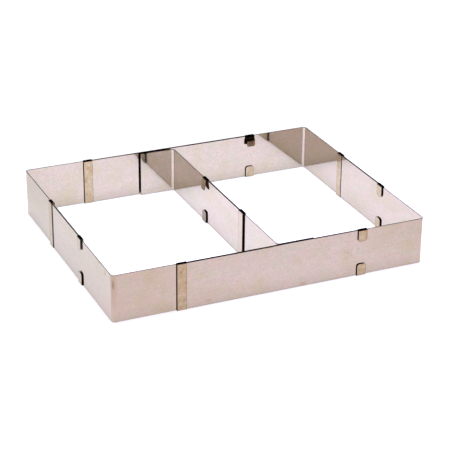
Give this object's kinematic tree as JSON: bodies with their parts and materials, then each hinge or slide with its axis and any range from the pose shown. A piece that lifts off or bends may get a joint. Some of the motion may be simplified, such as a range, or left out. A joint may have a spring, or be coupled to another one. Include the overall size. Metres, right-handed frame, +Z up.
{
  "type": "adjustable rectangular baking frame",
  "caption": "Rectangular stainless steel baking frame with telescoping walls held by folded clips, and a sliding telescoping divider.",
  "frame": {"origin": "on the surface that the frame stands on, under the middle of the frame as it is set at rest", "axes": "+X along the long walls, from the left wall to the right one; +Y along the short walls, from the front wall to the back one; +Z up"},
  "size_m": [0.3406, 0.277, 0.051],
  "materials": {
    "wall_steel": "bright rolled",
    "divider_steel": "bright rolled",
    "clip_steel": "satin"
  },
  "bodies": {
    "front_left": {"front_left_strip": "wall_steel", "front_left_long_clip": "clip_steel", "front_left_short_clip": "clip_steel"},
    "front_right": {"front_right_strip": "wall_steel", "front_right_long_clip": "clip_steel", "front_right_short_clip": "clip_steel"},
    "back_right": {"back_right_strip": "wall_steel", "back_right_long_clip": "clip_steel", "back_right_short_clip": "clip_steel"},
    "back_left": {"back_left_strip": "wall_steel", "back_left_long_clip": "clip_steel", "back_left_short_clip": "clip_steel"},
    "divider_front": {"divider_front_strip": "divider_steel", "divider_front_clip": "clip_steel"},
    "divider_back": {"divider_back_strip": "divider_steel", "divider_back_clip": "clip_steel"}
  },
  "joints": [
    {"name": "lengthen_front", "type": "slide", "parent": "front_left", "child": "front_right", "axis": [1, 0, 0], "range_m": [-0.058, 0.182]},
    {"name": "widen_left", "type": "slide", "parent": "front_left", "child": "back_left", "axis": [0, 1, 0], "range_m": [-0.0735, 0.0795]},
    {"name": "lengthen_back", "type": "slide", "parent": "back_left", "child": "back_right", "axis": [1, 0, 0], "range_m": [-0.058, 0.182]},
    {"name": "divider_shift", "type": "slide", "parent": "front_left", "child": "divider_front", "axis": [1, 0, 0], "range_m": [-0.125, 0.062]},
    {"name": "divider_reach", "type": "slide", "parent": "divider_front", "child": "divider_back", "axis": [0, 1, 0], "range_m": [-0.0735, 0.0795]}
  ],
  "couplings": [
    {"joint": "lengthen_back", "follows": "lengthen_front", "ratio": 1},
    {"joint": "divider_reach", "follows": "widen_left", "ratio": 1}
  ]
}
